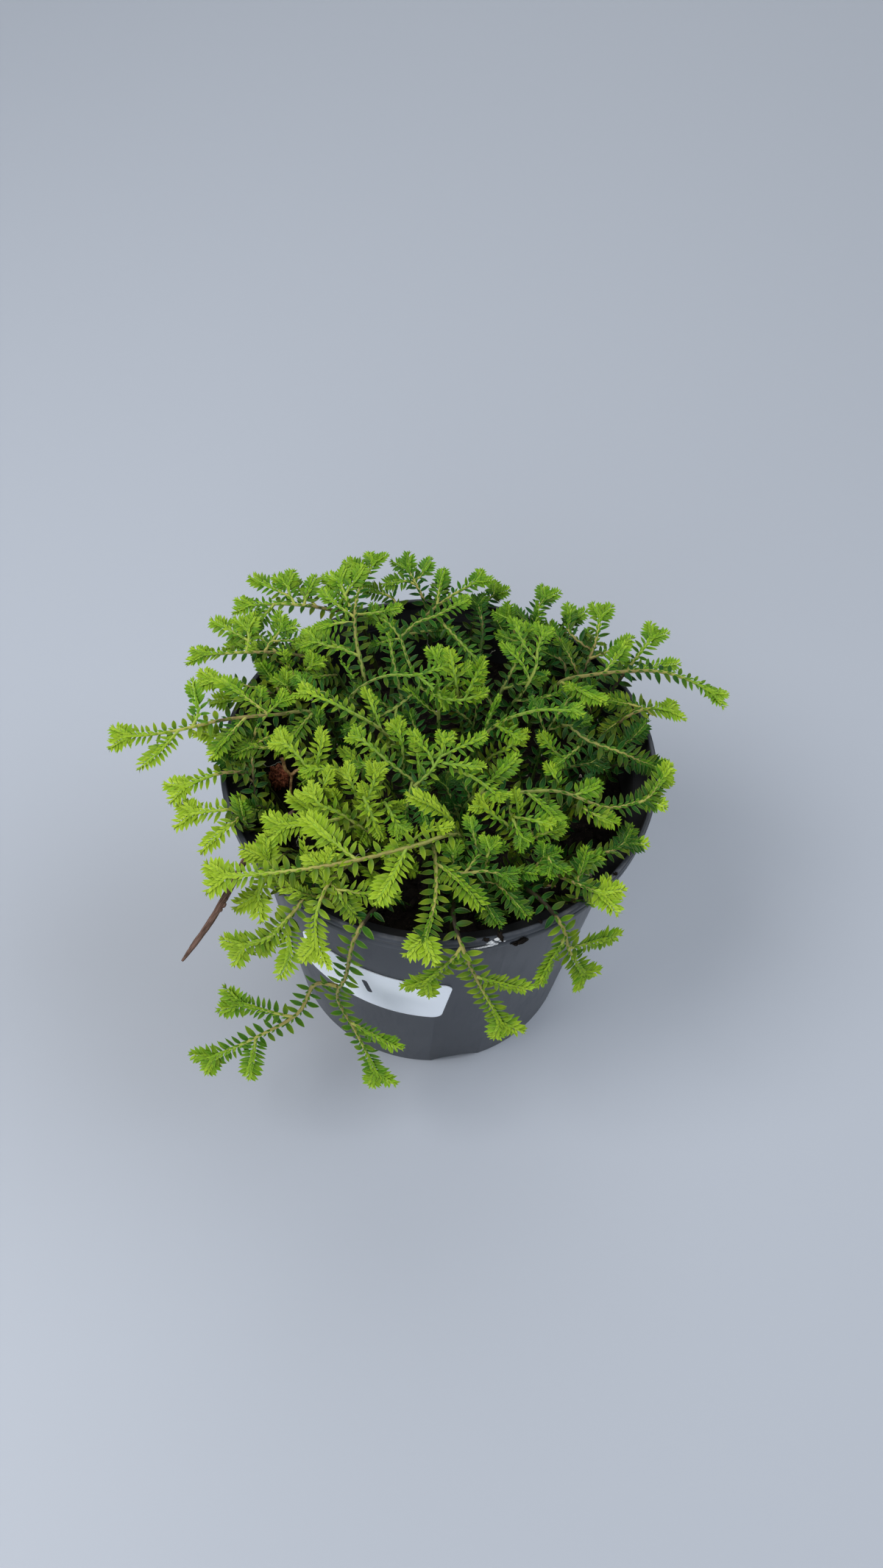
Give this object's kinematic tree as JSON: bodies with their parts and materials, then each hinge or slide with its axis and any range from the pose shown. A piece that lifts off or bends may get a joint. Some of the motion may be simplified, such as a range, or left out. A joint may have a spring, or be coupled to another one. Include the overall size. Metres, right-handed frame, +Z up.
{
  "type": "potted spikemoss",
  "caption": "Creeping spikemoss whose flat, forking, leafy stems fill a round black nursery pot and trail over its rim.",
  "frame": {"origin": "on the pot's axis, at the flat pad under the middle of its floor, level with the surface that the pot stands on", "axes": "+Z up along the pot's axis; -Y towards the front, where stems hang in front of the label; +X to the right seen from the front"},
  "size_m": [0.1727, 0.1379, 0.1237],
  "materials": {
    "foliage": "satin",
    "pot_plastic": "satin",
    "potting_mix": "matte",
    "label_paper": "satin",
    "twig_wood": "matte",
    "bark": "matte",
    "perlite": "matte"
  },
  "bodies": {
    "root": {"trail_front_left": "foliage", "trail_front_mid": "foliage", "trail_front_right": "foliage", "trail_left_low": "foliage", "spray_left_low": "foliage", "spray_front_bud": "foliage", "spray_left_1": "foliage", "spray_left_2": "foliage", "trail_far_left": "foliage", "spray_left_3": "foliage", "spray_left_4": "foliage", "spray_left_5": "foliage", "spray_back_1": "foliage", "spray_back_2": "foliage", "spray_back_3": "foliage", "spray_back_4": "foliage", "spray_back_5": "foliage", "spray_back_6": "foliage", "spray_back_7": "foliage", "spray_right_1": "foliage", "spray_right_2": "foliage", "trail_right": "foliage", "spray_right_3": "foliage", "spray_right_4": "foliage", "spray_right_5": "foliage", "spray_right_6": "foliage", "spray_right_7": "foliage", "spray_front_1": "foliage", "spray_front_2": "foliage", "spray_front_3": "foliage", "spray_mid_1": "foliage", "spray_mid_2": "foliage", "spray_mid_3": "foliage", "spray_mid_4": "foliage", "spray_mid_5": "foliage", "spray_mid_6": "foliage", "spray_mid_7": "foliage", "spray_mid_8": "foliage", "spray_mid_9": "foliage", "spray_mid_10": "foliage", "spray_mid_11": "foliage", "spray_mid_12": "foliage", "pot": "pot_plastic", "soil": "potting_mix", "label": "label_paper", "twig": "twig_wood", "bark_chip": "bark", "perlite_grain": "perlite"}
  },
  "joints": []
}
